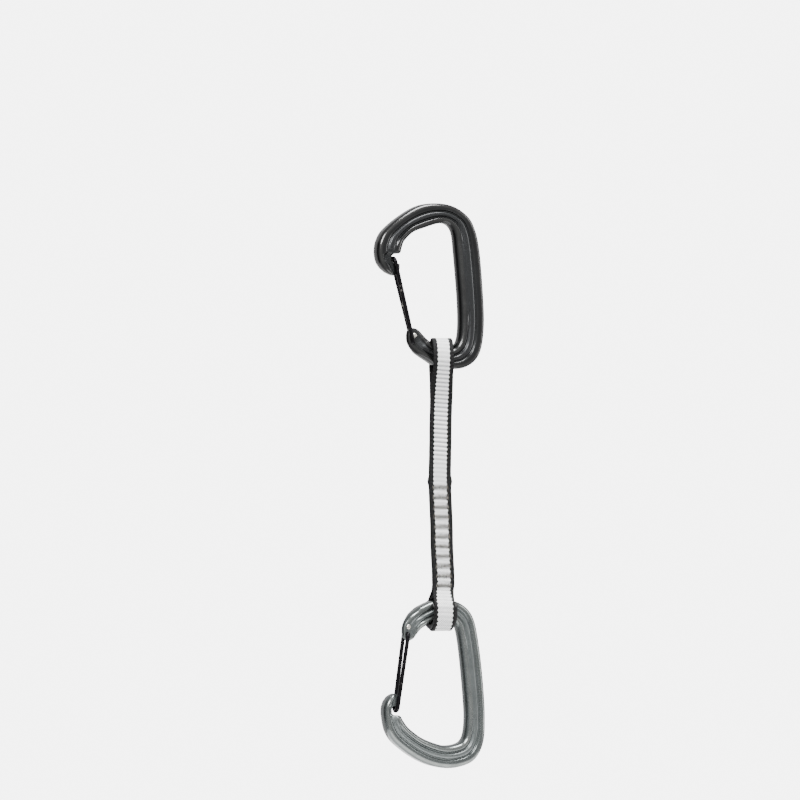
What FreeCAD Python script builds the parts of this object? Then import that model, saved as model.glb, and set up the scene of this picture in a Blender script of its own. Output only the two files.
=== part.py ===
import FreeCAD, Part
import math
import os
from FreeCAD import Vector

# A climbing quickdraw: two wire-gate carabiners joined by a sewn sling.
# Millimetres and degrees. +Z is up, the carabiners lie in the XZ plane, and
# the origin is the inside top of the upper carabiner's basket, where it hangs.

# Forged frames
FRAME_THICK = 9.0
EDGE_ROUND = 2.5
POCKET_DEPTH = 1.2
BOSS_THICK = 4.2
NOSE_TIP_THICK = 2.7

# Gate wire
WIRE_R = 1.05
WIRE_BORE_R = 1.10
LEG_Y = 3.5
LOOP_Y = 2.6
BEND_R = 1.4
LOOP_BEND_R = 2.5
LOOP_END_UV = (-28.4, 60.5)
PEEN_R = 1.4
PEEN_HIGH = 0.8
PIN_PLAY = 0.08
CUT_GAP = 0.35

# Sling
TAPE_WIDE = 12.0
TAPE_THICK = 1.2
SLING_X = -0.4
BAND_TOP_Z = -144.0
BAND_BOTTOM_Z = -201.0
LAP_END_Z = -139.5
LAYER_Y = 1.3
LAP_THICK = 1.3
PLAIN_Y = 0.75
LAP_STEP_RUN = 6.5
LAP_STEP_R = 20.0
BAND_LEAD = 1.0
TACK_COUNT = 11
TACK_PITCH = 5.4
TACK_TOP_Z = -145.4
TACK_WIDE = 9.4
TACK_HIGH = 2.2
TACK_PROUD = 0.35

# Places along the hanging quickdraw
UPPER_SMALL_END_Z = -80.2
UPPER_EYE_R = 8.6
UPPER_EYE_TOP_Z = -63.1
UPPER_EYE_SIDE_Z = -75.5
UPPER_EYE_FOOT_Z = -98.0
UPPER_EYE_SIDE_R = 9.0
UPPER_EYE_FOOT_R = 30.0
LOWER_SMALL_END_Z = -207.0
LOWER_BAR_V = 6.4
LOWER_EYE_R = 8.4
LOWER_EYE_BOTTOM_Z = -224.4
LOWER_EYE_SIDE_Z = -209.5
LOWER_EYE_SIDE_R = 4.0
LOWER_EYE_HEAD_R = 2.4

# Keeper
KEEPER_WIDE = 13.6
KEEPER_BORE_R = 7.2
KEEPER_CLEAR = 0.05
KEEPER_TOP_Z = -203.6
KEEPER_TOP_Y = 1.9
KEEPER_SHOULDER_Z = -209.8
KEEPER_SHOULDER_R = 4.0
KEEPER_CREST_R = 1.0

# Frame outlines, from the hinge boss round the outside to the nose and back
# along the inside. U runs from the gate side to the spine, V from the
# outside of the small end to the basket.
UPPER_OUTLINE = [
    (-20.9, 19.6), (-20.6, 14.4), (-17.6, 10.0), (-12.6, 6.4), (-5.6, 2.2), (4.0, 0.0),
    (12.7, 0.7), (19.5, 4.7), (23.6, 12.5), (24.9, 25.0), (24.3, 42.0), (22.8, 60.0),
    (20.6, 73.4), (15.6, 83.6), (6.6, 89.5), (-4.3, 91.1), (-15.0, 89.4), (-26.0, 83.3),
    (-35.2, 75.8), (-39.4, 67.6), (-38.9, 59.6), (-34.6, 53.6), (-28.6, 51.0),
    (-25.4, 53.4), (-24.9, 58.0), (-25.0, 64.0), (-23.0, 70.0), (-18.0, 74.6), (-9.4, 78.0),
    (-1.0, 80.2), (3.4, 79.4), (6.4, 75.2), (7.8, 64.3), (9.3, 50.0), (10.3, 35.0),
    (10.3, 21.0), (8.0, 13.2), (3.0, 10.8), (-4.6, 12.9), (-9.8, 17.3), (-13.4, 21.0),
    (-17.2, 22.4),
]
LOWER_OUTLINE = [
    (-23.4, 18.0), (-23.1, 13.0), (-20.0, 8.3), (-13.6, 3.5), (-6.4, 0.7), (1.5, 0.0),
    (9.5, 1.8), (15.6, 6.2), (19.2, 13.0), (21.6, 24.6), (23.6, 39.4), (25.0, 55.0),
    (25.3, 72.0), (22.9, 83.6), (16.4, 90.4), (5.4, 92.9), (-6.6, 91.3), (-18.0, 86.2),
    (-28.8, 78.2), (-34.8, 68.0), (-35.2, 58.4), (-32.6, 52.8), (-28.6, 51.0),
    (-25.4, 53.4), (-24.9, 58.0), (-24.9, 63.4), (-21.6, 68.4), (-16.0, 73.5), (-6.6, 78.0),
    (1.6, 80.3), (8.2, 79.9), (12.8, 76.6), (14.2, 68.0), (13.7, 53.1), (12.2, 37.0),
    (10.6, 24.4), (8.6, 15.6), (4.6, 11.4), (-1.5, 10.9), (-8.0, 13.1), (-13.4, 16.8),
    (-16.9, 21.1), (-19.6, 22.4), (-22.3, 21.3),
]
UPPER_POCKET = [(-8.0, 8.4), (5.0, 5.4), (14.5, 8.0), (18.0, 22.0), (17.3, 42.0), (14.6, 68.0)]
LOWER_POCKET = [(-9.0, 7.4), (2.0, 5.3), (11.5, 8.9), (15.6, 22.0), (18.0, 42.0), (19.6, 68.0)]
POCKET_WIDE = 4.6
POCKET_DRAFT = 0.8
POCKET_OVERCUT = 1.0

# Bores of the hinge boss: the gate turns in the first, its far end sits in the second
UPPER_BORES = ((-17.0, 18.4), (-18.2, 14.3))
LOWER_BORES = ((-21.3, 18.5), (-22.3, 14.5))

# Where the faces step down: the boss from its hinge bore, the nose beside the gate legs
BOSS_STEP = [(-8.7, -9.0), (1.8, -7.3), (5.5, -3.0), (8.7, 8.5), (-8.7, 8.5)]
NOSE_STEP = [(-27.2, 48.0), (-29.2, 52.0), (-30.5, 61.8), (-20.0, 61.8), (-20.0, 48.0)]
NOTCH = [(-22.0, 57.8), (-28.4, 57.8), (-29.9, 59.2), (-29.9, 61.8), (-28.8, 62.9), (-22.0, 63.2)]


def uv(point, y=0.0):
    """A point of a frame outline in the frame's own space, small end on top."""
    return Vector(point[0], y, -point[1])


def smooth_loop(points, y):
    curve = Part.BSplineCurve()
    curve.interpolate([uv(p, y) for p in points], True)
    return Part.Wire(curve.toShape())


def prism(points, y0, y1):
    """A straight-sided block of the given corner points from y0 to y1."""
    corners = [uv(p, y0) for p in points]
    face = Part.Face(Part.makePolygon(corners + corners[:1]))
    return face.extrude(Vector(0, y1 - y0, 0))


def bore(point, radius):
    return Part.makeCylinder(radius, 2 * FRAME_THICK, uv(point, -FRAME_THICK), Vector(0, 1, 0))


def spine_pocket(points, side):
    """A shallow flute that follows the small end and the spine on one face."""
    curve = Part.BSplineCurve()
    curve.interpolate([uv(p, side * FRAME_THICK / 2) for p in points])
    path = Part.Wire(curve.toShape())
    start = curve.value(curve.FirstParameter)
    tangent = curve.tangent(curve.FirstParameter)[0]
    half = POCKET_WIDE / 2
    across = tangent.cross(Vector(0, 1, 0)).normalize()
    inward = Vector(0, -side * POCKET_DEPTH, 0)
    above = Vector(0, side * POCKET_OVERCUT, 0)
    corners = [
        start + across * half + above,
        start + across * (half - POCKET_DRAFT) + inward,
        start - across * (half - POCKET_DRAFT) + inward,
        start - across * half + above,
    ]
    profile = Part.makePolygon(corners + corners[:1])
    sweep = Part.BRepOffsetAPI.MakePipeShell(path)
    sweep.setBiNormalMode(Vector(0, 1, 0))
    sweep.add(profile)
    sweep.build()
    sweep.makeSolid()
    return sweep.shape()


def frame_body(outline, pocket, bores):
    """A forged frame: rounded C-shaped bar, thinned boss and nose, spine flutes."""
    half = FRAME_THICK / 2
    face = Part.Face(smooth_loop(outline, -half))
    body = face.extrude(Vector(0, FRAME_THICK, 0))
    rims = [e for e in body.Edges if abs(e.BoundBox.YMin - e.BoundBox.YMax) < 0.01]
    body = body.makeFillet(EDGE_ROUND, rims)
    hinge = bores[0]
    boss_step = [(hinge[0] + u, hinge[1] + v) for u, v in BOSS_STEP]
    cuts = [prism(NOTCH, -FRAME_THICK, FRAME_THICK)]
    for side in (-1, 1):
        cuts.append(prism(boss_step, side * BOSS_THICK / 2, side * FRAME_THICK))
        cuts.append(prism(NOSE_STEP, side * NOSE_TIP_THICK / 2, side * FRAME_THICK))
        cuts.append(spine_pocket(pocket, side))
    cuts += [bore(point, WIRE_BORE_R) for point in bores]
    for cut in cuts:
        body = body.cut(cut)
    return body


def wire_along(edges, radius):
    """Round wire along a chain of straight and bent edges."""
    path = Part.Wire(edges)
    first = edges[0]
    start = first.valueAt(first.FirstParameter)
    tangent = first.tangentAt(first.FirstParameter)
    ring = Part.Wire(Part.makeCircle(radius, start, tangent))
    return path.makePipeShell([ring], True, False)


def bend(corner, before, after, radius):
    """The arc that turns a wire at a corner, with its two tangent points."""
    turn = before.getAngle(after)
    back = radius * math.tan(turn / 2)
    start = corner - before * back
    end = corner + after * back
    inward = (after - before).normalize()
    centre = corner + inward * (radius / math.cos(turn / 2))
    middle = centre - inward * radius
    return Part.Arc(start, middle, end).toShape(), start, end


def peened_head(at, direction):
    """A low dome on the end of a wire, where it has been riveted over."""
    ball_r = (PEEN_R ** 2 + PEEN_HIGH ** 2) / (2 * PEEN_HIGH)
    centre = at + direction * (PEEN_HIGH - ball_r)
    ball = Part.makeSphere(ball_r, centre)
    cap = Part.makeCylinder(PEEN_R, PEEN_HIGH, at, direction)
    return ball.common(cap)


def rounded_path(corners, radii):
    """Straight runs through the corners, each inner corner turned by an arc of its radius."""
    edges = []
    here = corners[0]
    for k, radius in enumerate(radii, start=1):
        before = (corners[k] - corners[k - 1]).normalize()
        after = (corners[k + 1] - corners[k]).normalize()
        arc, start, end = bend(corners[k], before, after, radius)
        if (start - here).Length > 0.001:
            edges.append(Part.LineSegment(here, start).toShape())
        edges.append(arc)
        here = end
    edges.append(Part.LineSegment(here, corners[-1]).toShape())
    return edges


def far_leg_cut(bores):
    """Where the gate's far leg is cut, level with the hinge."""
    loop_corner = uv(LOOP_END_UV, LOOP_Y)
    share = (LOOP_END_UV[1] - bores[0][1]) / (LOOP_END_UV[1] - bores[1][1])
    return loop_corner + (uv(bores[1], LEG_Y) - loop_corner) * share


def gate_wire(bores):
    """The moving loop: pin through the boss, near leg, loop end and far leg."""
    pin_start = uv(bores[0], BOSS_THICK / 2 + PIN_PLAY)
    cut = far_leg_cut(bores)
    corners = [
        pin_start,
        uv(bores[0], -LEG_Y),
        uv(LOOP_END_UV, -LOOP_Y),
        uv(LOOP_END_UV, LOOP_Y),
        cut,
    ]
    wire = wire_along(rounded_path(corners, [BEND_R, LOOP_BEND_R, LOOP_BEND_R]), WIRE_R)
    head = peened_head(pin_start, Vector(0, 1, 0))
    return wire.fuse([Part.makeSphere(WIRE_R, cut), head])


def gate_anchor(bores):
    """The fixed end: a short tail of the far leg, its bend, pin and peened head."""
    cut = far_leg_cut(bores)
    anchor_corner = uv(bores[1], LEG_Y)
    up = (anchor_corner - cut).normalize()
    pin_end = uv(bores[1], -BOSS_THICK / 2)
    corners = [cut + up * (WIRE_R + CUT_GAP), anchor_corner, pin_end]
    wire = wire_along(rounded_path(corners, [BEND_R]), WIRE_R)
    return wire.fuse(peened_head(pin_end, Vector(0, -1, 0)))


def side_view(points):
    """Points of the YZ plane at the sling's middle."""
    return [Vector(SLING_X, y, z) for y, z in points]


def tape_along(points, radii):
    """Flat tape of the sling's width along a rounded path in the YZ plane."""
    edges = rounded_path(side_view(points), radii)
    start = edges[0].valueAt(edges[0].FirstParameter)
    wide = Vector(TAPE_WIDE / 2, 0, 0)
    thick = Vector(0, TAPE_THICK / 2, 0)
    corners = [start - wide - thick, start + wide - thick, start + wide + thick, start - wide + thick]
    ring = Part.makePolygon(corners + corners[:1])
    return Part.Wire(edges).makePipeShell([ring], True, False)


def upper_eye():
    """The long loose eye over the upper bar, down to the sewn band."""
    end_z = UPPER_EYE_TOP_Z - TAPE_THICK / 2
    side = [
        (LAYER_Y, BAND_TOP_Z),
        (LAYER_Y, LAP_END_Z + BAND_LEAD),
        (PLAIN_Y, LAP_END_Z + BAND_LEAD + LAP_STEP_RUN),
        (PLAIN_Y, UPPER_EYE_FOOT_Z),
        (UPPER_EYE_R, UPPER_EYE_SIDE_Z),
        (UPPER_EYE_R, end_z),
    ]
    radii = [LAP_STEP_R, LAP_STEP_R, UPPER_EYE_FOOT_R, UPPER_EYE_SIDE_R, UPPER_EYE_R]
    other = [(-y, z) for y, z in reversed(side)]
    return tape_along(side + other, radii + radii[::-1])


def lower_eye():
    """The short eye round the keeper and the lower bar."""
    end_z = LOWER_EYE_BOTTOM_Z + TAPE_THICK / 2
    side = [
        (LAYER_Y, BAND_BOTTOM_Z),
        (LAYER_Y, BAND_BOTTOM_Z - BAND_LEAD),
        (LOWER_EYE_R, LOWER_EYE_SIDE_Z),
        (LOWER_EYE_R, end_z),
    ]
    radii = [LOWER_EYE_HEAD_R, LOWER_EYE_SIDE_R, LOWER_EYE_R]
    other = [(-y, z) for y, z in reversed(side)]
    return tape_along(side + other, radii + radii[::-1])


def band_layer(y_middle, thick, top_z):
    corner = Vector(SLING_X - TAPE_WIDE / 2, y_middle - thick / 2, BAND_BOTTOM_Z)
    return Part.makeBox(TAPE_WIDE, thick, top_z - BAND_BOTTOM_Z, corner)


def bar_tacks():
    """Rows of zig-zag thread that stand a little proud of both faces of the band."""
    face_y = LAYER_Y + TAPE_THICK / 2
    rows = []
    for row in range(TACK_COUNT):
        z = TACK_TOP_Z - row * TACK_PITCH - TACK_HIGH / 2
        for low_y in (face_y, -face_y - TACK_PROUD):
            corner = Vector(SLING_X - TACK_WIDE / 2, low_y, z)
            rows.append(Part.makeBox(TACK_WIDE, TACK_PROUD, TACK_HIGH, corner))
    return Part.makeCompound(rows)


def rubber_keeper():
    """A moulded sleeve that fills the lower eye round the carabiner's bar."""
    wide_y = LOWER_EYE_R - TAPE_THICK / 2 - KEEPER_CLEAR
    bottom_z = LOWER_EYE_BOTTOM_Z + TAPE_THICK + KEEPER_CLEAR
    half = [
        (0.0, KEEPER_TOP_Z),
        (KEEPER_TOP_Y, KEEPER_TOP_Z),
        (wide_y, KEEPER_SHOULDER_Z),
        (wide_y, bottom_z),
    ]
    radii = [KEEPER_CREST_R, KEEPER_SHOULDER_R, wide_y]
    other = [(-y, z) for y, z in reversed(half)]
    outline = Part.Wire(rounded_path(side_view(half + other), radii + radii[::-1]))
    block = Part.Face(outline).extrude(Vector(KEEPER_WIDE, 0, 0))
    block.translate(Vector(-KEEPER_WIDE / 2, 0, 0))
    axis_z = LOWER_SMALL_END_Z - LOWER_BAR_V
    start = Vector(SLING_X - KEEPER_WIDE, 0, axis_z)
    hole = Part.makeCylinder(KEEPER_BORE_R, 2 * KEEPER_WIDE, start, Vector(1, 0, 0))
    return block.cut(hole)


def hang(shape, small_end_z, turned):
    """Puts a carabiner piece in place; the upper one is turned end over end."""
    placed = shape.copy()
    if turned:
        placed.rotate(Vector(0, 0, 0), Vector(1, 0, 0), 180)
    placed.translate(Vector(0, 0, small_end_z))
    return placed


def build():
    pieces = {}
    carabiners = (
        ("upper", UPPER_OUTLINE, UPPER_POCKET, UPPER_BORES, UPPER_SMALL_END_Z, True),
        ("lower", LOWER_OUTLINE, LOWER_POCKET, LOWER_BORES, LOWER_SMALL_END_Z, False),
    )
    for name, outline, pocket, bores, small_end_z, turned in carabiners:
        body = frame_body(outline, pocket, bores)
        pieces[name + "_carabiner_body"] = hang(body, small_end_z, turned)
        pieces[name + "_gate_wire"] = hang(gate_wire(bores), small_end_z, turned)
        pieces[name + "_gate_wire_anchor"] = hang(gate_anchor(bores), small_end_z, turned)
    pieces["sling_upper_eye"] = upper_eye()
    pieces["sling_lower_eye"] = lower_eye()
    pieces["sling_front_layer"] = band_layer(-LAYER_Y, TAPE_THICK, BAND_TOP_Z)
    pieces["sling_back_layer"] = band_layer(LAYER_Y, TAPE_THICK, BAND_TOP_Z)
    pieces["sling_lapped_end"] = band_layer(0.0, LAP_THICK, LAP_END_Z)
    pieces["bar_tacks"] = bar_tacks()
    pieces["rubber_keeper"] = rubber_keeper()
    return pieces


os.makedirs("parts", exist_ok=True)
for name, shape in build().items():
    shape.exportStep("parts/" + name + ".step")
    print(name, shape.isValid(), len(shape.Solids), round(shape.Volume, 1))
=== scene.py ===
import math
import random

import bmesh
import bpy
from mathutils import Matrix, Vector


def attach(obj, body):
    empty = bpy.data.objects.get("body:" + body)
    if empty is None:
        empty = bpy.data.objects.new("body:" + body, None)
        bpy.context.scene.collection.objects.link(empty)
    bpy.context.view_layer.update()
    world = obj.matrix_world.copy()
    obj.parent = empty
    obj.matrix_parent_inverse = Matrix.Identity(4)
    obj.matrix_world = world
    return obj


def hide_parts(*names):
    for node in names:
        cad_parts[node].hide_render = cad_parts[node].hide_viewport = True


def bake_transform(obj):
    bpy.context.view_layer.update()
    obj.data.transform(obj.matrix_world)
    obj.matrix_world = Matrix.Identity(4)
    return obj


# A climbing quickdraw: two forged wire-gate carabiners on a sewn tape sling.
# Metres; MM turns a millimetre into metres. The carabiners lie in the XZ plane.

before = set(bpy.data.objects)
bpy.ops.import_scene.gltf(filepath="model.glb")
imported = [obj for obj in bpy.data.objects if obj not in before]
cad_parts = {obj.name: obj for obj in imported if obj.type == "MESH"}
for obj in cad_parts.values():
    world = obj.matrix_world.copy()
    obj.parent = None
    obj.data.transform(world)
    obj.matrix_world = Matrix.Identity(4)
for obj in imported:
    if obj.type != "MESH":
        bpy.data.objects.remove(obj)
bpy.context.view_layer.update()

MM = 0.001
UPPER_TOP = -80.2
LOWER_TOP = -207.0

# Each carabiner's bar as stations from the hinge boss round the outside to the
# nose: a point of the outside edge, a point of the inside edge, the half
# thickness beside each, and the depths of the outer and the inner groove.
# U runs towards the spine and V from the small end to the basket.
LOWER_BOSS = [
    ((-23.0, 20.3), (-22.4, 21.1), 1.8, 1.8, 0.0, 0.0),
    ((-23.4, 19.0), (-21.6, 21.9), 2.0, 2.0, 0.0, 0.0),
    ((-23.6, 16.6), (-19.6, 22.4), 2.1, 2.1, 0.0, 0.0),
    ((-23.3, 13.8), (-17.0, 21.2), 2.1, 2.1, 0.05, 0.0),
    ((-22.2, 11.2), (-15.2, 19.0), 2.4, 2.1, 0.25, 0.1),
    ((-19.8, 8.0), (-13.0, 16.4), 3.5, 3.1, 0.6, 0.6),
    ((-16.8, 5.6), (-10.8, 14.7), 4.3, 4.2, 0.8, 1.0),
    ((-13.6, 3.5), (-8.4, 13.2), 4.5, 4.5, 0.9, 1.2),
    ((-6.4, 0.7), (-3.6, 11.4), 4.5, 4.5, 0.9, 1.3),
    ((1.5, 0.0), (0.8, 10.7), 4.5, 4.5, 0.9, 1.3),
    ((9.5, 1.8), (4.4, 11.2), 4.5, 4.5, 0.9, 1.3),
    ((15.6, 6.2), (7.4, 13.6), 4.5, 4.5, 0.9, 1.2),
    ((19.2, 13.0), (9.1, 17.4), 4.5, 4.5, 0.8, 1.0),
    ((21.6, 24.6), (10.7, 26.0), 4.5, 4.5, 0.8, 0.5),
    ((23.6, 39.4), (12.4, 40.4), 4.5, 4.5, 0.8, 0.0),
    ((25.0, 55.0), (13.8, 55.6), 4.5, 4.5, 0.8, 0.0),
    ((25.4, 66.0), (14.3, 64.6), 4.5, 4.5, 0.8, 0.2),
    ((24.9, 77.0), (13.8, 72.4), 4.5, 4.5, 0.9, 0.5),
    ((22.0, 85.0), (12.2, 77.2), 4.5, 4.5, 1.0, 1.1),
    ((16.4, 90.4), (8.8, 79.6), 4.5, 4.5, 1.0, 1.3),
    ((5.4, 92.9), (2.2, 80.4), 4.5, 4.5, 1.0, 1.3),
    ((-6.6, 91.3), (-3.6, 79.2), 4.5, 4.5, 1.0, 1.3),
    ((-18.0, 86.2), (-12.2, 75.8), 4.5, 4.5, 1.0, 1.3),
    ((-28.8, 78.2), (-20.0, 70.3), 4.5, 4.5, 0.9, 1.2),
    ((-33.0, 72.4), (-23.6, 66.0), 4.5, 4.5, 0.8, 0.5),
    ((-34.7, 67.0), (-24.9, 63.7), 4.5, 4.3, 0.7, 0.3),
]
LOWER_NOSE = [
    ((-35.2, 63.6), (-25.4, 63.1), 4.5, 3.0, 0.7, 0.0),
    ((-35.3, 62.9), (-28.8, 62.9), 4.5, 2.6, 0.7, 0.0),
    ((-35.4, 61.8), (-29.8, 61.9), 4.5, 1.4, 0.7, 0.0),
    ((-35.4, 59.4), (-29.9, 59.4), 4.5, 1.7, 0.7, 0.0),
    ((-35.2, 58.0), (-28.4, 57.8), 4.5, 1.4, 0.7, 0.0),
    ((-35.1, 57.6), (-25.1, 57.6), 4.5, 1.4, 0.7, 0.0),
    ((-34.2, 55.2), (-25.0, 55.2), 4.4, 1.35, 0.6, 0.0),
    ((-32.6, 52.8), (-25.7, 53.0), 3.9, 1.35, 0.4, 0.0),
    ((-30.8, 51.6), (-27.0, 51.7), 2.9, 1.35, 0.1, 0.0),
    ((-29.6, 51.1), (-28.2, 51.1), 1.8, 1.2, 0.0, 0.0),
]
UPPER_BOSS = [
    ((-19.2, 21.9), (-18.4, 22.4), 1.8, 1.8, 0.0, 0.0),
    ((-20.5, 20.6), (-17.2, 22.5), 2.0, 2.0, 0.0, 0.0),
    ((-21.0, 18.0), (-15.2, 22.1), 2.1, 2.1, 0.0, 0.0),
    ((-20.7, 14.9), (-13.2, 20.8), 2.1, 2.1, 0.05, 0.0),
    ((-19.2, 11.9), (-11.6, 19.1), 2.4, 2.1, 0.25, 0.1),
    ((-16.6, 9.0), (-9.6, 17.1), 3.5, 3.1, 0.6, 0.6),
    ((-13.8, 7.2), (-7.8, 15.4), 4.3, 4.2, 0.8, 1.0),
    ((-9.6, 4.7), (-5.0, 13.2), 4.5, 4.5, 0.9, 1.2),
    ((-3.4, 1.3), (-1.4, 11.6), 4.5, 4.5, 0.9, 1.3),
    ((4.4, 0.0), (2.6, 10.8), 4.5, 4.5, 0.9, 1.3),
    ((12.7, 0.7), (6.0, 11.6), 4.5, 4.5, 0.9, 1.3),
    ((19.5, 4.7), (8.6, 14.2), 4.5, 4.5, 0.9, 1.2),
    ((23.4, 12.2), (10.0, 18.6), 4.5, 4.5, 0.8, 1.0),
    ((24.9, 25.0), (10.5, 26.6), 4.5, 4.5, 0.8, 0.5),
    ((24.4, 40.0), (10.0, 39.6), 4.5, 4.5, 0.8, 0.0),
    ((23.0, 57.6), (8.6, 56.0), 4.5, 4.5, 0.8, 0.0),
    ((21.8, 67.4), (7.7, 65.2), 4.5, 4.5, 0.8, 0.2),
    ((19.8, 75.8), (6.7, 73.6), 4.5, 4.5, 0.9, 0.5),
    ((15.6, 83.6), (4.9, 77.8), 4.5, 4.5, 1.0, 1.1),
    ((6.6, 89.5), (1.6, 79.9), 4.5, 4.5, 1.0, 1.3),
    ((-4.3, 91.1), (-3.2, 79.8), 4.5, 4.5, 1.0, 1.3),
    ((-15.0, 89.4), (-10.4, 77.6), 4.5, 4.5, 1.0, 1.3),
    ((-26.0, 83.3), (-17.4, 75.0), 4.5, 4.5, 1.0, 1.3),
    ((-35.2, 75.8), (-22.8, 70.3), 4.5, 4.5, 0.9, 1.2),
    ((-38.6, 70.0), (-24.4, 66.6), 4.5, 4.5, 0.8, 0.5),
    ((-39.5, 66.0), (-25.0, 64.0), 4.5, 4.3, 0.7, 0.3),
]
UPPER_NOSE = [
    ((-39.6, 63.6), (-25.5, 63.2), 4.5, 3.0, 0.7, 0.0),
    ((-39.5, 62.9), (-28.8, 62.9), 4.5, 2.6, 0.7, 0.0),
    ((-39.4, 61.8), (-29.8, 61.9), 4.5, 1.4, 0.7, 0.0),
    ((-38.9, 59.4), (-29.9, 59.4), 4.5, 1.7, 0.7, 0.0),
    ((-38.3, 58.0), (-28.4, 57.8), 4.5, 1.4, 0.7, 0.0),
    ((-38.1, 57.6), (-25.1, 57.6), 4.5, 1.4, 0.7, 0.0),
    ((-36.4, 55.2), (-25.0, 55.2), 4.4, 1.35, 0.6, 0.0),
    ((-33.6, 52.8), (-25.7, 53.0), 3.9, 1.35, 0.4, 0.0),
    ((-31.2, 51.6), (-27.0, 51.7), 2.9, 1.35, 0.1, 0.0),
    ((-29.6, 51.1), (-28.2, 51.1), 1.8, 1.2, 0.0, 0.0),
]
RIM_ROUND = 2.5
LIP_ROUND = 3.3
OUTER_GROOVE_SHARE = 0.39
OUTER_GROOVE_HALF = 1.0
OUTER_SHOULDER = 0.9
INNER_GROOVE_SHARE = 0.68
INNER_GROOVE_HALF = 1.15
INNER_SHOULDER = 1.2
STEPS_PER_STATION = 6

# Gate wires
WIRE_R = 1.12
WIRE_SIDES = 16
WIRE_STEP = 1.2
LEG_Y = 3.4
LOOP_Y = 2.3
BEND_R = 1.4
BOSS_HALF = 2.1
UPPER_LOOP_END = (-28.9, 60.5)
LOWER_LOOP_END = (-27.4, 60.5)
UPPER_BORES = ((-17.0, 18.4), (-18.2, 14.3))
LOWER_BORES = ((-21.2, 18.3), (-20.5, 14.6))
PEEN_R = 1.4
PEEN_HIGH = 0.8

# Sling
TAPE_HALF = 6.0
TAPE_THICK = 1.2
TAPE_STEP = 0.45
SELVEDGE_WIDE = 2.5
SEAM_AT = TAPE_HALF - SELVEDGE_WIDE
PICK_PITCH = 2.4
PICK_SLANT = 0.09
RIB_HIGH = 0.19
BEAD_PITCH = 1.7
BEAD_WIDE = 0.18
BEAD_HIGH = 0.07
PUCKER = 0.17
LAP_TOP = -139.3
BAND_BOTTOM = -201.0

# Bar tacks
TACK_COUNT = 11
TACK_PITCH = 5.4
TACK_TOP = -145.4
TACK_HALF_WIDE = 4.3
TACK_HALF_HIGH = 1.3
TACK_STITCHES = 30
TACK_Y = 1.86
THREAD_R = 0.19
THREAD_PROUD = 0.22

# Keeper
KEEPER_AXIS_Z = -213.4
KEEPER_BORE_R = 7.2
KEEPER_HALF_WIDE = 6.8
KEEPER_X = -0.5
KEEPER_TURN = math.radians(-1)
KEEPER_STEPS = 120


# Mesh tools


def smooth_between(points, steps):
    """Passes a smooth curve through the rows of numbers, with steps between each two."""
    rows = []
    last = len(points) - 1
    for k in range(last):
        p0, p1 = points[max(k - 1, 0)], points[k]
        p2, p3 = points[k + 1], points[min(k + 2, last)]
        for s in range(steps):
            t = s / steps
            row = []
            for a, b, c, d in zip(p0, p1, p2, p3):
                square, cube = 2 * a - 5 * b + 4 * c - d, 3 * b - a - 3 * c + d
                row.append(0.5 * (2 * b + (c - a) * t + square * t**2 + cube * t**3))
            rows.append(row)
    rows.append(list(points[last]))
    return rows


def skin(bm, rings, closed=False, marks=None):
    """Extrudes a closed section from each ring of points to the next; marks fill point attributes."""
    layers = {name: bm.verts.layers.float.new(name) for name in (marks or {})}

    def mark(verts, k):
        for name, layer in layers.items():
            for vert, value in zip(verts, marks[name][k]):
                vert[layer] = value

    first = [bm.verts.new(p) for p in rings[0]]
    mark(first, 0)
    edges = [bm.edges.new(pair) for pair in zip(first, first[1:] + first[:1])]
    verts = first
    for k, ring in enumerate(rings[1:], start=1):
        made = bmesh.ops.extrude_edge_only(bm, edges=edges)["geom"]
        fresh = {g for g in made if isinstance(g, bmesh.types.BMVert)}
        grown = []
        for vert, place in zip(verts, ring):
            twin = next(o for o in (e.other_vert(vert) for e in vert.link_edges) if o in fresh)
            twin.co = place
            grown.append(twin)
        mark(grown, k)
        verts = grown
        edges = [bm.edges.get(pair) for pair in zip(verts, verts[1:] + verts[:1])]
    if closed:
        start = [bm.edges.get(pair) for pair in zip(first, first[1:] + first[:1])]
        bmesh.ops.bridge_loops(bm, edges=start + edges)
    else:
        bmesh.ops.contextual_create(bm, geom=first)
        bmesh.ops.contextual_create(bm, geom=verts)
    return bm


def finished(name, bm, finish, body, nodes, merge=0.00001):
    """Makes the piece's object, gives it its finish and body, and hides the CAD nodes that it replaces.
    """
    bmesh.ops.remove_doubles(bm, verts=bm.verts, dist=merge)
    bmesh.ops.recalc_face_normals(bm, faces=bm.faces)
    for face in bm.faces:
        face.smooth = True
    mesh = bpy.data.meshes.new(name)
    bm.to_mesh(mesh)
    bm.free()
    mesh.materials.append(finish)
    piece = bpy.data.objects.new(name, mesh)
    bpy.context.scene.collection.objects.link(piece)
    if body:
        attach(piece, body)
    if nodes:
        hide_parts(*nodes)
    return piece


def hung(u, y, v, upper):
    """A carabiner's own (u, y, v) in millimetres to its place, the upper one turned over."""
    if upper:
        return Vector((u, -y, UPPER_TOP + v)) * MM
    return Vector((u, y, LOWER_TOP - v)) * MM


# Forged frames


def dip(a, centre, half_width):
    """A smooth dip, 1 at its centre and 0 beyond its half width."""
    t = min(abs(a - centre) / half_width, 1.0)
    return (1 - t * t) ** 2


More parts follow.
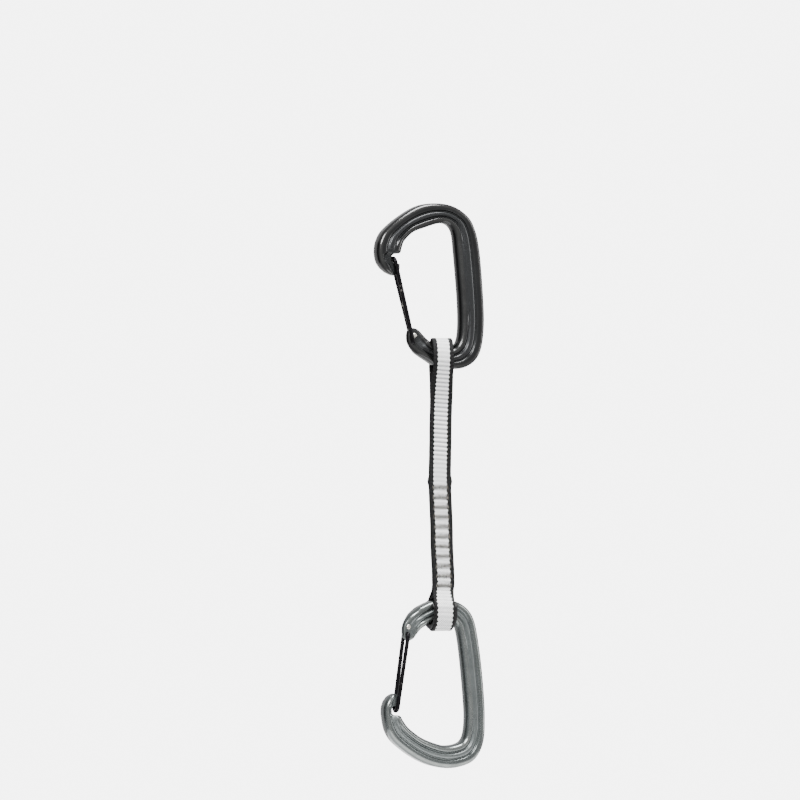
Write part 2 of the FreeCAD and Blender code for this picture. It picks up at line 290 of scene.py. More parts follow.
def section_marks(width, near_half, far_half, outer_depth, inner_depth):
    """The upper half of a bar's section: (across, height, edge paleness that is partly worn dye and
    partly painted highlight, grain) from outside to inside edge.
    """
    rim = min(RIM_ROUND, 0.46 * width, near_half * 0.9)
    lip = min(LIP_ROUND, 0.3 * width, far_half * 0.9)
    groove = OUTER_GROOVE_SHARE * width
    second = INNER_GROOVE_SHARE * width
    rows = []
    # A pale rounding next to the face: partly worn dye, partly a painted highlight line.
    for degrees in (0, 20, 40, 60, 76):
        turn = math.radians(degrees)
        height = near_half - rim + rim * math.sin(turn)
        rows.append((rim * (1 - math.cos(turn)), height, 0.8 * (degrees > 50), 0.0))
    shoulder = groove - OUTER_SHOULDER
    across = [rim + (shoulder - rim) * s for s in (0.15, 0.6)] if shoulder > rim else [rim, rim + 0.01]
    across += [groove + s * OUTER_SHOULDER for s in (-0.9, -0.65, -0.35, 0.0, 0.35, 0.65, 0.9)]
    across += [groove + (second - groove) * s for s in (0.45, 0.6)]
    across += [second + s * INNER_SHOULDER for s in (-0.95, -0.6, -0.3, 0.0, 0.3, 0.6, 0.95)]
    reached = 0.0
    for a in across:
        a = reached = min(max(a, reached), width - lip)
        past = min(max((a - groove) / OUTER_SHOULDER, 0.0), 1.0)
        half = near_half + (far_half - near_half) * past
        half -= outer_depth * dip(a, groove, OUTER_GROOVE_HALF)
        half -= inner_depth * dip(a, second, INNER_GROOVE_HALF)
        polished = a < groove or (a > second and inner_depth > 0.3)
        grain = 0.25 if polished else 1.0
        # A pale line just outside the outer groove: a painted highlight on the rim's inner edge, partly
        # worn dye.
        wear_and_highlight = 0.5 * dip(a, groove - 1.1, 0.5) * min(outer_depth, 1.0)
        rows.append((a, half, wear_and_highlight, grain))
    # A pale rounding next to the face: partly worn dye, partly a painted highlight line.
    for degrees in (80, 60, 40, 20, 0):
        turn = math.radians(degrees)
        height = far_half - lip + lip * math.sin(turn)
        rows.append((width - lip * (1 - math.cos(turn)), height, 0.7 * (degrees > 50), degrees / 400))
    return rows


def forged_frame(which, boss, nose, upper, finish, body):
    """The bar of one carabiner, drawn round its stations, with rounded rims and two grooves."""

    def flat(station):
        outside, inside, *rest = station
        return [*outside, *inside, *rest]

    rows = smooth_between([flat(s) for s in boss], STEPS_PER_STATION)
    rows += [flat(s) for s in nose]
    rings, wear_and_highlight_rows, grains = [], [], []
    for ou, ov, iu, iv, near_half, far_half, outer_depth, inner_depth in rows:
        width = math.hypot(iu - ou, iv - ov)
        du, dv = (iu - ou) / width, (iv - ov) / width
        half = section_marks(width, near_half, far_half, max(outer_depth, 0), max(inner_depth, 0))
        loop = [(a, -h, w, g) for a, h, w, g in half] + [(a, h, w, g) for a, h, w, g in reversed(half)]
        rings.append([hung(ou + du * a, h, ov + dv * a, upper) for a, h, w, g in loop])
        wear_and_highlight_rows.append([w for a, h, w, g in loop])
        grains.append([g for a, h, w, g in loop])
    bm = skin(bmesh.new(), rings, marks={"wear_and_highlight": wear_and_highlight_rows, "grain": grains})
    replaced = [which + "_carabiner_body"]
    return finished(which + "_forged_frame", bm, finish, body, replaced, merge=0.000002)


# Gate wires


def bent_route(corners, radii):
    """Points along straight runs with an arc of each radius at the inner corners."""
    points = [corners[0]]
    for k, radius in enumerate(radii, start=1):
        before = (corners[k] - corners[k - 1]).normalized()
        after = (corners[k + 1] - corners[k]).normalized()
        turn = before.angle(after)
        back = radius * math.tan(turn / 2)
        start, end = corners[k] - before * back, corners[k] + after * back
        centre = corners[k] + (after - before).normalized() * (radius / math.cos(turn / 2))
        steps = max(6, round(math.degrees(turn) / 9))
        if (start - points[-1]).length > 0.01:
            points.append(start)
        for s in range(1, steps + 1):
            a, b = start - centre, end - centre
            square = (b - a * math.cos(turn)) / math.sin(turn)
            angle = turn * s / steps
            points.append(centre + a * math.cos(angle) + square * math.sin(angle))
    points.append(corners[-1])
    return points


def spread(points, gap):
    """The same route with extra points, so that none are further apart than gap."""
    route = [points[0]]
    for a, b in zip(points, points[1:]):
        count = max(1, math.ceil((b - a).length / gap))
        route += [a + (b - a) * s / count for s in range(1, count + 1)]
    return route


def wire_rings(route, radii):
    """Round sections along a route, kept from twisting."""
    rings = []
    across = None
    for k, place in enumerate(route):
        ahead = (route[min(k + 1, len(route) - 1)] - route[max(k - 1, 0)]).normalized()
        if across is None:
            across = ahead.orthogonal().normalized()
        across = (across - ahead * across.dot(ahead)).normalized()
        other = ahead.cross(across)
        turns = [2 * math.pi * s / WIRE_SIDES for s in range(WIRE_SIDES)]
        rings.append([place + (across * math.cos(t) + other * math.sin(t)) * radii[k] for t in turns])
    return rings


def half_gate(bore_at, side, upper):
    """One leg of a gate: its peened head, its pin, the leg and half of the loop end."""
    loop_end = UPPER_LOOP_END if upper else LOWER_LOOP_END
    head_y = -side * BOSS_HALF

    def beside(y):
        return Vector((bore_at[0], y, bore_at[1]))

    corners = [
        beside(head_y),
        beside(side * LEG_Y),
        Vector((loop_end[0], side * LOOP_Y, loop_end[1])),
        Vector((loop_end[0], 0.0, loop_end[1])),
    ]
    turns = [math.radians(degrees) for degrees in (8, 30, 55, 80)]
    head = [beside(head_y - side * PEEN_HIGH * math.cos(turn)) for turn in turns]
    head += [beside(head_y - side * 0.05), beside(head_y)]
    head_radii = [PEEN_R * math.sin(turn) for turn in turns] + [PEEN_R * 0.98, WIRE_R]
    wire = spread(bent_route(corners, [BEND_R, LOOP_Y * 0.97]), WIRE_STEP)[1:]
    rings = wire_rings(head + wire, head_radii + [WIRE_R] * len(wire))
    bright = [[1.0] * WIRE_SIDES] * len(head) + [[0.0] * WIRE_SIDES] * len(wire)
    placed = [[hung(p.x, p.y, p.z, upper) for p in ring] for ring in rings]
    return skin(bmesh.new(), placed, marks={"bright": bright})


def gate(which, bores, upper, finish):
    """A gate's near half turns with the gate; the far half stays in its own bore."""
    name = which + "_gate"
    near = half_gate(bores[0], -1, upper)
    finished(name + "_near_leg", near, finish, name, [name + "_wire"])
    far = half_gate(bores[1], 1, upper)
    leg = finished(name + "_far_leg", far, finish, None, [name + "_wire_anchor"])
    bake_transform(leg)


# Sling


# Heights down the sling with its sideways sway in millimetres, and with its twist in degrees
SWAY_STOPS = [
    (-60, 0.1),
    (-92, 0.1),
    (-115, -0.4),
    (-140, -0.8),
    (-172, 0.3),
    (-198, 1.3),
    (-209, 0.0),
    (-230, -0.3),
]
TWIST_STOPS = [(-80, -17), (-100, -22), (-128, -22), (-165, -18), (-198, -11), (-207, -9)]


def between(a, low, high):
    """0 at low and beyond, 1 at high and beyond, and in proportion between them."""
    return min(max((a - low) / (high - low), 0.0), 1.0)


def sling_sway(z):
    """How far the hanging tape wanders sideways at a height, eased from stop to stop."""
    sway = SWAY_STOPS[0][1]
    for (z0, x0), (z1, x1) in zip(SWAY_STOPS, SWAY_STOPS[1:]):
        t = between(z, z0, z1)
        sway += (x1 - x0) * t * t * (3 - 2 * t)
    return sway


def sling_twist(z):
    """How far the tape has turned about the vertical at a height, in radians."""
    degrees = TWIST_STOPS[0][1]
    for (z0, a0), (z1, a1) in zip(TWIST_STOPS, TWIST_STOPS[1:]):
        degrees += (a1 - a0) * between(z, z0, z1)
    return math.radians(degrees)


def on_sling(x, y, z):
    """A point of the straight sling moved to where the hanging, twisted sling has it, in metres."""
    twist = sling_twist(z)
    # In the eyes the tape wraps its bar at a slant and stays as far from it all round
    free = between(z, -78.0, -94.0) * between(z, -208.0, -198.0)
    across = x * (1 - free + free * math.cos(twist)) - y * math.sin(twist)
    depth = free * x * math.sin(twist) + y
    return Vector((sling_sway(z) + across, depth, z)) * MM


def rib_strength(z):
    """The weft ribs stand out on the loose part and lie flatter in the eyes and the seam."""
    return 0.25 + 0.75 * between(z, -74.0, -82.0) * between(z, -134.0, -124.0)


def seam_pucker(z):
    """The sewn band dips under each row of thread and swells between two rows."""
    rows = (TACK_TOP - z) / TACK_PITCH
    margin = 3.0 / TACK_PITCH
    if not -margin <= rows <= TACK_COUNT - 1 + margin:
        return 0.0
    return -PUCKER * math.cos(2 * math.pi * rows)


def tape_section():
    """The upper half of the tape's section: (across, height), its selvedges a little thicker."""
    edge, half = TAPE_HALF, TAPE_THICK / 2
    rows = [(-edge, 0.12), (-edge + 0.12, 0.36), (-edge + 0.4, half * 0.95), (-edge + 0.95, half * 1.05)]
    rows += [(-SEAM_AT - 0.35, half * 1.04), (-SEAM_AT, half * 0.9)]
    rows += [(-SEAM_AT * s, half * 0.98) for s in (0.92, 0.66, 0.33)] + [(0.0, half)]
    return rows + [(-a, h) for a, h in reversed(rows[:-1])]


def tape_rings(route, normals, start_along=0.0):
    """Sections along a tape route in the YZ plane, with weft ribs and beaded selvedges."""
    half = tape_section()
    loop = [(a, -1, h) for a, h in half] + [(a, 1, h) for a, h in reversed(half)]
    rings, across_marks, along_marks, rib_marks = [], [], [], []
    along = start_along
    for k, (place, normal) in enumerate(zip(route, normals)):
        if k:
            along += (place - route[k - 1]).length
        ribs, pucker = rib_strength(place.z), seam_pucker(place.z)
        ring = []
        for a, side, h in loop:
            edge = max(abs(a) - SEAM_AT, 0) / SELVEDGE_WIDE
            if edge > 0:
                bead = math.cos(2 * math.pi * (along / BEAD_PITCH + (0.5 if a > 0 else 0.0)))
                a += math.copysign(BEAD_WIDE * bead * edge, a)
                h += BEAD_HIGH * bead * edge + pucker * (1 - edge)
            else:
                pick = (along - PICK_SLANT * a) / PICK_PITCH
                h += RIB_HIGH * ribs * math.cos(2 * math.pi * pick) + pucker
            spot = place + normal * (side * h)
            ring.append(on_sling(a, spot.y, spot.z))
        rings.append(ring)
        # The black edges are drawn narrower where the tape goes round the keeper
        folded = 1.0 - 0.2 * between(place.z, -200.0, -208.0)
        across_marks.append([a * folded for a, side, h in loop])
        along_marks.append([along] * len(loop))
        rib_marks.append([ribs] * len(loop))
    return rings, {"across": across_marks, "along": along_marks, "ribs": rib_marks}


def yz(y, z):
    return Vector((0, y, z))


def tape_loop():
    """The whole sewn loop: over the upper bar, down the band, round the lower bar and back."""
    down = [
        yz(0, -63.7),
        yz(-9.4, -63.7),
        yz(-9.4, -76.0),
        yz(-0.95, -98.0),
        yz(-0.95, -132.0),
        yz(-1.3, -139.5),
        yz(-1.3, -202.2),
        yz(-8.5, -210.0),
        yz(-8.5, -223.8),
        yz(0, -223.8),
    ]
    radii = [9.35, 9.0, 30.0, 20.0, 20.0, 2.4, 4.0, 8.45]
    side = bent_route(down, radii)
    route = side + [yz(-p.y, p.z) for p in reversed(side[1:-1])]
    route = spread(route + route[:1], TAPE_STEP)[:-1]
    count = len(route)
    normals = []
    for k in range(count):
        ahead = (route[(k + 1) % count] - route[k - 1]).normalized()
        normals.append(Vector((0, ahead.z, -ahead.y)))
    return tape_rings(route, normals)


def lap_strip():
    """The tape's overlapped end, between the two outer layers."""
    route = spread([yz(0, LAP_TOP), yz(0, BAND_BOTTOM)], TAPE_STEP)
    rings, marks = tape_rings(route, [yz(1, 0)] * len(route), 0.8)
    for k, ring in enumerate(rings):
        # The band is a little wider than the loop below it, most of all near its cut end
        wider = 1.03 + 0.1 * max(0.0, 1 - abs(k - 6) / 7)
        middle = sum(ring, Vector()) / len(ring)
        for point in ring:
            point.xy = middle.xy + (point.xy - middle.xy) * wider
    return rings, marks


def bar_tack_rows():
    """Zig-zag rows of thread on both faces of the sewn band."""
    bm = bmesh.new()
    for row in range(TACK_COUNT):
        z = TACK_TOP - row * TACK_PITCH
        for face in (-1, 1):
            route = []
            for k in range(TACK_STITCHES + 1):
                x = TACK_HALF_WIDE * (2 * k / TACK_STITCHES - 1) + random.uniform(-0.07, 0.07)
                up = (TACK_HALF_HIGH if k % 2 else -TACK_HALF_HIGH) + random.uniform(-0.3, 0.3)
                route.append(on_sling(x, face * (TACK_Y + random.uniform(0, 0.12)), z + up))
            rings = []
            for k, place in enumerate(route):
                ahead = (route[min(k + 1, TACK_STITCHES)] - route[max(k - 1, 0)]).normalized()
                wide = ahead.cross(Vector((0, 1, 0))).normalized() * THREAD_R * MM
                proud = Vector((0, THREAD_PROUD, 0)) * MM
                turns = (0.3, 1.6, 2.8, 4.1, 5.3)
                rings.append([place + wide * math.cos(t) + proud * math.sin(t) for t in turns])
            skin(bm, rings)
    return bm


# Keeper


def keeper_reach(y, z):
    """How far the keeper's outside lies from the bar's axis in a direction."""
    # Flat sides, a crest between the two tapes, sloping shoulders, and a rounded bottom
    planes = [(1, 0, 7.75), (-1, 0, 7.75), (0, 1, 9.7), (0.748, 0.664, 7.5), (-0.748, 0.664, 7.5)]
    bottom_z, bottom_r = -2.0, 7.7
    reaches = [c / (y * a + z * b) for a, b, c in planes if y * a + z * b > 0.01]
    if z < 0:
        down = z * bottom_z
        reaches.append(down + math.sqrt(down**2 - bottom_z**2 + bottom_r**2))
    return min(reaches)


def keeper_rings():
    """The sleeve's wall, swept once round the bar, with rolled ends and small shoulder ears."""
    rings = []
    for k in range(KEEPER_STEPS):
        turn = 2 * math.pi * k / KEEPER_STEPS
        y, z = math.sin(turn), math.cos(turn)
        wall = keeper_reach(y, z) - KEEPER_BORE_R
        end = KEEPER_HALF_WIDE - 3.2 * between(z, 0.55, 1.0)
        ear = 0.5 * dip(z, 0.5, 0.3)
        profile = [
            (0.5 - end, 0.0),
            (0.1 - end, 0.12 * wall + 0.1),
            (-0.1 - end - ear, 0.5 * wall),
            (-0.15 - end - ear, 0.82 * wall),
            (0.1 - end - ear, 0.97 * wall),
            (0.5 - end, wall),
            (1.3 - end, wall - 0.1),
            (0.0, wall - 0.12),
        ]
        profile += [(-x, r) for x, r in reversed(profile[:-1])]
        profile += [(end * 0.5, 0.0), (-end * 0.5, 0.0)]
        c, t = math.cos(KEEPER_TURN), math.sin(KEEPER_TURN)
        ring = []
        for x, out in profile:
            r = KEEPER_BORE_R + out
            place = (x * c - y * r * t + KEEPER_X, x * t + y * r * c, KEEPER_AXIS_Z + z * r)
            ring.append(Vector(place) * MM)
        rings.append(ring)
    return rings


# Finishes


def linear(hex_colour):
    """An sRGB hex colour as linear RGBA."""
    values = [int(hex_colour[k : k + 2], 16) / 255 for k in (1, 3, 5)]
    return [v / 12.92 if v <= 0.04045 else ((v + 0.055) / 1.055) ** 2.4 for v in values] + [1.0]


def node(tree, kind, inputs, out=0, **settings):
    """Adds a shader node, gives its inputs values or other nodes' outputs, and returns an output.

    Math takes its numbers as 0, 1 and 2, a colour Mix its share as 0 and its colours as 6 and 7
    and gives output 2, and Map Range takes its value, low, high, new low and new high as 0 to 4.
    """
    made = tree.nodes.new(kind)
    for key, value in settings.items():
        setattr(made, key, value)
    for key, value in inputs.items():
        if isinstance(value, bpy.types.NodeSocket):
            tree.links.new(value, made.inputs[key])
        else:
            made.inputs[key].default_value = value
    return made.outputs[out]


def start_finish(name, **constants):
    """A material with a Principled shader that has the given constants; gives it and its nodes."""
    material = bpy.data.materials.new(name)
    material.use_nodes = True
    shader = material.node_tree.nodes["Principled BSDF"]
    for key, value in constants.items():
        shader.inputs[key.replace("_", " ")].default_value = value
    return material, material.node_tree


def end_finish(material, **outputs):
    """Leads node outputs to the shader's inputs of those names."""
    tree = material.node_tree
    for key, value in outputs.items():
        tree.links.new(value, tree.nodes["Principled BSDF"].inputs[key.replace("_", " ")])
    return material


MATH = "ShaderNodeMath"
MIX = "ShaderNodeMix"
RANGE = "ShaderNodeMapRange"
NOISE = "ShaderNodeTexNoise"
BUMP = "ShaderNodeBump"
PLACE = "ShaderNodeTexCoord"
ATTRIBUTE = "ShaderNodeAttribute"
PER_MM = 1000.0


def anodised_forging(name, deep, web, edge_wear_and_highlight, dust):
    """Hot-forged 7000-series aluminium, tumbled, blasted in the web and dyed when anodised.

    The eye gets a satin metal: smooth rims with a soft bright streak, a web with a fine sandy sparkle,
    and pale edges that are partly dye rubbed thin and partly painted highlight.
    """
    material, tree = start_finish(name, Metallic=0.85, Coat_Weight=0.4, Coat_Roughness=0.14)
    wear_and_highlight = node(tree, ATTRIBUTE, {}, "Fac", attribute_name="wear_and_highlight")
    grain = node(tree, ATTRIBUTE, {}, "Fac", attribute_name="grain")
    place = node(tree, PLACE, {}, "Object")
    # The blast grit is about 0.1 mm and is drawn 0.45 mm coarse so that it shows
    grit = node(tree, NOISE, {"Vector": place, "Scale": PER_MM / 0.45, "Detail": 2.0, "Roughness": 0.6})
    dye = node(tree, NOISE, {"Vector": place, "Scale": PER_MM / 9.0, "Detail": 3.0, "Roughness": 0.5})
    edge_patch_noise = node(tree, NOISE, {"Vector": place, "Scale": PER_MM / 6.0, "Detail": 3.0, "Roughness": 0.5})
    dyed = node(tree, RANGE, {0: dye, 1: 0.3, 2: 0.7, 3: 0.0, 4: 1.0})
    colour = node(tree, MIX, {0: dyed, 6: linear(deep), 7: linear(web)}, 2, data_type="RGBA")
    speckle = node(tree, RANGE, {0: grit, 1: 0.38, 2: 0.66, 3: 0.0, 4: 0.55})
    sandy = node(tree, MATH, {0: speckle, 1: grain}, operation="MULTIPLY")
    colour = node(tree, MIX, {0: sandy, 6: colour, 7: linear(dust)}, 2, data_type="RGBA")
    # Pale edge colour: partly dye rubbed thin, partly a painted highlight along the crests.
    thin = node(tree, RANGE, {0: edge_patch_noise, 1: 0.3, 2: 0.7, 3: 0.12, 4: 0.3})
    rubbed = node(tree, MATH, {0: wear_and_highlight, 1: thin}, operation="MULTIPLY")
    colour = node(tree, MIX, {0: rubbed, 6: colour, 7: linear(edge_wear_and_highlight)}, 2, data_type="RGBA")
    satin = node(tree, RANGE, {0: grit, 1: 0.3, 2: 0.7, 3: 0.17, 4: 0.25})
    rough = node(tree, MATH, {0: grain, 1: 0.2, 2: satin}, operation="MULTIPLY_ADD")
    blasted = node(tree, MATH, {0: grain, 1: 0.35}, operation="MULTIPLY")
    bump = node(tree, BUMP, {"Strength": blasted, "Distance": 0.00006, "Height": grit}, "Normal")
    return end_finish(material, Base_Color=colour, Roughness=rough, Normal=bump)


def coated_spring_wire(name):
    """Stainless spring wire with a thin black coating, bright where the end was peened.

    The eye gets dark gloss lines along the legs, rubbed to steel in small
    places, and a bare, slightly hammered dome at each rivet head.
    """
    material, tree = start_finish(name, Metallic=0.9)
    bright = node(tree, ATTRIBUTE, {}, "Fac", attribute_name="bright")
    place = node(tree, PLACE, {}, "Object")
    scuff = node(tree, NOISE, {"Vector": place, "Scale": PER_MM / 2.6, "Detail": 3.0, "Roughness": 0.55})
    cloud = node(tree, NOISE, {"Vector": place, "Scale": PER_MM / 4.0, "Detail": 2.0, "Roughness": 0.5})
    hammer = node(tree, NOISE, {"Vector": place, "Scale": PER_MM / 0.5, "Detail": 2.0, "Roughness": 0.5})
    scuffed = node(tree, RANGE, {0: scuff, 1: 0.64, 2: 0.74, 3: 0.0, 4: 0.35})
    bare = node(tree, MATH, {0: bright, 1: scuffed}, operation="MAXIMUM")
    shade = node(tree, RANGE, {0: cloud, 1: 0.3, 2: 0.7, 3: 0.0, 4: 1.0})
    coat = node(tree, MIX, {0: shade, 6: linear("#131214"), 7: linear("#212023")}, 2, data_type="RGBA")
    dents = node(tree, RANGE, {0: hammer, 1: 0.3, 2: 0.7, 3: 0.0, 4: 1.0})
    steel = node(tree, MIX, {0: dents, 6: linear("#b9b4ab"), 7: linear("#e9e6df")}, 2, data_type="RGBA")
    colour = node(tree, MIX, {0: bare, 6: coat, 7: steel}, 2, data_type="RGBA")
    rough = node(tree, RANGE, {0: scuff, 1: 0.3, 2: 0.7, 3: 0.2, 4: 0.3})
    bump = node(tree, BUMP, {"Strength": 0.15, "Distance": 0.00005, "Height": scuff}, "Normal")
    return end_finish(material, Base_Color=colour, Roughness=rough, Normal=bump)


def woven_tape(name):
    """Narrow tape needle-woven from bright polyethylene, with black polyamide selvedges.

    The eye gets a white satin face with small diagonal floats in rows, painted grey shade in the valleys
    between the picks and beside the floats, and matt black corded edges.
    """
    material, tree = start_finish(name, Roughness=0.75, Specular_IOR_Level=0.2)
    across = node(tree, ATTRIBUTE, {}, "Fac", attribute_name="across")
    along = node(tree, ATTRIBUTE, {}, "Fac", attribute_name="along")
    bold = node(tree, ATTRIBUTE, {}, "Fac", attribute_name="ribs")
    # Each rib is one doubled pick of 2.4 mm, and the warp ends lie 1 mm apart
    slant = node(tree, MATH, {0: across, 1: -PICK_SLANT, 2: along}, operation="MULTIPLY_ADD")
    pick = node(tree, MATH, {0: slant, 1: 2 * math.pi / PICK_PITCH}, operation="MULTIPLY")
    ribs = node(tree, MATH, {0: pick}, operation="COSINE")
    half_pick = node(tree, MATH, {0: pick, 1: 2.0}, operation="MULTIPLY")
    halves = node(tree, MATH, {0: half_pick}, operation="COSINE")
    warp = node(tree, MATH, {0: across, 1: 2 * math.pi}, operation="MULTIPLY")
    ends = node(tree, MATH, {0: warp}, operation="SINE")
    floats = node(tree, MATH, {0: ends, 1: halves}, operation="MULTIPLY")
    flat = node(tree, MATH, {0: bold, 1: -0.6, 2: 1.15}, operation="MULTIPLY_ADD")
    floats = node(tree, MATH, {0: floats, 1: flat}, operation="MULTIPLY")
    weave_relief_and_shade = node(tree, MATH, {0: ribs, 1: bold, 2: floats}, operation="MULTIPLY_ADD")
    place = node(tree, PLACE, {}, "Object")
    fuzz = node(tree, NOISE, {"Vector": place, "Scale": PER_MM / 0.5, "Detail": 3.0, "Roughness": 0.65})
    uneven = node(tree, RANGE, {0: fuzz, 1: 0.3, 2: 0.7, 3: -0.5, 4: 0.5})
    shade = node(tree, MATH, {0: weave_relief_and_shade, 1: uneven}, operation="ADD")
    shade = node(tree, RANGE, {0: shade, 1: -1.2, 2: 0.5, 3: 0.0, 4: 1.0})
    # The grey end is painted shade, darkest in the rib valleys and beside the floats.
    white = node(tree, MIX, {0: shade, 6: linear("#8e8e94"), 7: linear("#fdfdfc")}, 2, data_type="RGBA")
    cord = node(tree, MATH, {0: along, 1: 2 * math.pi / BEAD_PITCH}, operation="MULTIPLY")
    cord = node(tree, MATH, {0: cord}, operation="SINE")
    cord = node(tree, RANGE, {0: cord, 1: -1.0, 2: 1.0, 3: 0.0, 4: 1.0})
    black = node(tree, MIX, {0: cord, 6: linear("#060607"), 7: linear("#161617")}, 2, data_type="RGBA")
    # The black ends wander by a thread where the two yarns meet
    seam = node(tree, MATH, {0: ribs, 1: 0.22, 2: SEAM_AT}, operation="MULTIPLY_ADD")
    off_middle = node(tree, MATH, {0: across}, operation="ABSOLUTE")
    is_edge = node(tree, MATH, {0: off_middle, 1: seam}, operation="GREATER_THAN")
    colour = node(tree, MIX, {0: is_edge, 6: white, 7: black}, 2, data_type="RGBA")
    height = node(tree, MATH, {0: fuzz, 1: 0.8, 2: weave_relief_and_shade}, operation="MULTIPLY_ADD")
    bump = node(tree, BUMP, {"Strength": 0.6, "Distance": 0.00018, "Height": height}, "Normal")
    return end_finish(material, Base_Color=colour, Normal=bump)


def bonded_thread(name):
    """Bonded polyamide sewing thread, packed tight in zig-zag rows.

    The eye gets grey-brown stitches with a dull gleam, and near-black patches of painted shade for the
    gap between strands.
    """
    material, tree = start_finish(name, Roughness=0.5, Sheen_Weight=0.2)
    place = node(tree, PLACE, {}, "Object")
    strand = node(tree, NOISE, {"Vector": place, "Scale": PER_MM / 0.9, "Detail": 3.0, "Roughness": 0.7})
    gap_shade = node(tree, RANGE, {0: strand, 1: 0.44, 2: 0.58, 3: 0.0, 4: 1.0})
    # The near-black end is painted shade where strands leave a gap.
    colour = node(tree, MIX, {0: gap_shade, 6: linear("#12110d"), 7: linear("#79746a")}, 2, data_type="RGBA")
    bump = node(tree, BUMP, {"Strength": 0.5, "Distance": 0.0001, "Height": strand}, "Normal")
    return end_finish(material, Base_Color=colour, Normal=bump)


def moulded_rubber(name):
    """Compression-moulded black rubber with a fine sparked tool texture.

    The eye gets a deep satin black with a broad soft highlight.
    """
    material, tree = start_finish(name, IOR=1.52, Specular_IOR_Level=0.3)
    place = node(tree, PLACE, {}, "Object")
    spark = node(tree, NOISE, {"Vector": place, "Scale": PER_MM / 0.3, "Detail": 2.0, "Roughness": 0.5})
    bloom = node(tree, NOISE, {"Vector": place, "Scale": PER_MM / 5.0, "Detail": 3.0, "Roughness": 0.5})
    shade = node(tree, RANGE, {0: bloom, 1: 0.3, 2: 0.7, 3: 0.0, 4: 1.0})
    colour = node(tree, MIX, {0: shade, 6: linear("#0b0b0c"), 7: linear("#131314")}, 2, data_type="RGBA")
    rough = node(tree, RANGE, {0: bloom, 1: 0.3, 2: 0.7, 3: 0.42, 4: 0.56})
    bump = node(tree, BUMP, {"Strength": 0.2, "Distance": 0.00005, "Height": spark}, "Normal")
    return end_finish(material, Base_Color=colour, Roughness=rough, Normal=bump)


# Build

random.seed(11)
black_anodised = anodised_forging(
    "black anodised forged aluminium", deep="#141415", web="#1e1f20", edge_wear_and_highlight="#7a7a78", dust="#4a4c4e"
)
grey_anodised = anodised_forging(
    "grey anodised forged aluminium", deep="#4a4f4f", web="#595e5e", edge_wear_and_highlight="#c2c5bf", dust="#7c8180"
)
spring_wire = coated_spring_wire("black coated spring steel wire")
tape = woven_tape("woven tape with black selvedges")
thread = bonded_thread("bonded zig-zag thread")
rubber = moulded_rubber("moulded black rubber")

forged_frame("upper", UPPER_BOSS, UPPER_NOSE, True, black_anodised, "upper_carabiner")
forged_frame("lower", LOWER_BOSS, LOWER_NOSE, False, grey_anodised, "lower_carabiner")
gate("upper", UPPER_BORES, True, spring_wire)
gate("lower", LOWER_BORES, False, spring_wire)

rings, marks = tape_loop()
finished(
    "sling_tape_loop",
    skin(bmesh.new(), rings, closed=True, marks=marks),
    tape,
    "sling",
    ["sling_upper_eye", "sling_front_layer", "sling_lower_eye", "sling_back_layer"],
)
rings, marks = lap_strip()
lap = skin(bmesh.new(), rings, marks=marks)
finished("sling_lapped_strip", lap, tape, "sling", ["sling_lapped_end"])
finished("bar_tack_stitches", bar_tack_rows(), thread, "sling", ["bar_tacks"])
sleeve = skin(bmesh.new(), keeper_rings(), closed=True)
finished("keeper_sleeve", sleeve, rubber, "sling", ["rubber_keeper"])

# Stage: pale floor, white surroundings, soft boxes and two dark cards

FLOOR_Z = -0.335
FLOOR_R = 0.135


def plain(name, colour, glow=0.0):
    """A matt, even surface of the stage, which may glow."""
    white = (1, 1, 1, 1)
    return start_finish(
        name, Base_Color=linear(colour), Roughness=0.9, Emission_Color=white, Emission_Strength=glow
    )[0]


def card(name, place, size, towards, colour):
    """A flat board facing a point; the camera doesn't see it."""
    bm = bmesh.new()
    bmesh.ops.create_grid(bm, x_segments=1, y_segments=1, size=size / 2)
    mesh = bpy.data.meshes.new(name)
    bm.to_mesh(mesh)
    bm.free()
    mesh.materials.append(plain(name, colour))
    board = bpy.data.objects.new(name, mesh)
    bpy.context.scene.collection.objects.link(board)
    board.location = place
    board.rotation_mode = "QUATERNION"
    board.rotation_quaternion = (Vector(towards) - Vector(place)).to_track_quat("Z", "Y")
    board.visible_camera = False
    return board


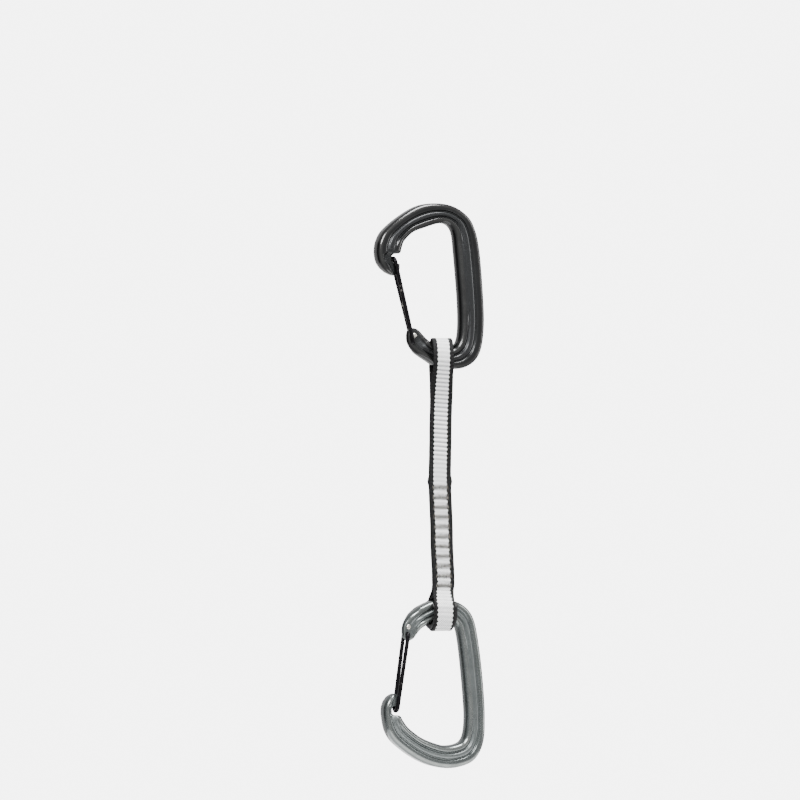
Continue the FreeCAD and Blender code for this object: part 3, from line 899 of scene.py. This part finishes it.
def softbox(name, place, size, power, towards):
    """A rectangular lamp facing a point."""
    lamp = bpy.data.lights.new(name, "AREA")
    lamp.shape = "RECTANGLE"
    lamp.size, lamp.size_y = size
    lamp.energy = power
    box = bpy.data.objects.new(name, lamp)
    bpy.context.scene.collection.objects.link(box)
    box.location = place
    box.rotation_mode = "QUATERNION"
    box.rotation_quaternion = (Vector(towards) - Vector(place)).to_track_quat("-Z", "Y")
    return box


bm = bmesh.new()
bmesh.ops.create_circle(bm, cap_ends=True, segments=96, radius=FLOOR_R)
mesh = bpy.data.meshes.new("floor")
bm.to_mesh(mesh)
bm.free()
mesh.materials.append(plain("white floor paper", "#f7f7f7", glow=0.5))
floor_board = bpy.data.objects.new("floor", mesh)
floor_board.location = (0, 0, FLOOR_Z)
bpy.context.scene.collection.objects.link(floor_board)

middle = (0.0, 0.0, -0.155)
softbox("key softbox", (-0.9, -1.1, 0.75), (0.6, 0.6), 40, middle)
softbox("top softbox", (0.1, -0.25, 0.95), (0.6, 0.4), 32, middle)
softbox("side softbox", (1.2, -0.5, 0.1), (0.25, 1.2), 7, middle)
card("left dark card", (-0.75, 0.35, -0.1), 0.9, middle, "#4c4c4c")
card("right dark card", (0.85, 0.45, -0.1), 0.7, middle, "#101010")

world = bpy.data.worlds.new("white studio")
world.use_nodes = True
tree = world.node_tree
# The camera sees the surroundings brighter than they light the object
seen = node(tree, "ShaderNodeLightPath", {}, "Is Camera Ray")
strength = node(tree, RANGE, {0: seen, 1: 0.0, 2: 1.0, 3: 0.9, 4: 6.0})
tree.links.new(strength, tree.nodes["Background"].inputs["Strength"])
tree.nodes["Background"].inputs["Color"].default_value = (1, 1, 1, 1)
bpy.context.scene.world = world

# Camera
CAMERA_TURN = math.radians(-24)
CAMERA_FAR = 2.446
LOOKED_AT = Vector((-20.66, 9.20, -97.25)) * MM
camera = bpy.data.objects.new("camera", bpy.data.cameras.new("camera"))
camera.data.lens = 200
camera.data.sensor_width = 36
back = Vector((math.sin(CAMERA_TURN), -math.cos(CAMERA_TURN), 0))
camera.location = LOOKED_AT + back * CAMERA_FAR
camera.rotation_mode = "QUATERNION"
camera.rotation_quaternion = (-back).to_track_quat("-Z", "Y")
camera.data.clip_end = 40
bpy.context.scene.collection.objects.link(camera)
bpy.context.scene.camera = camera
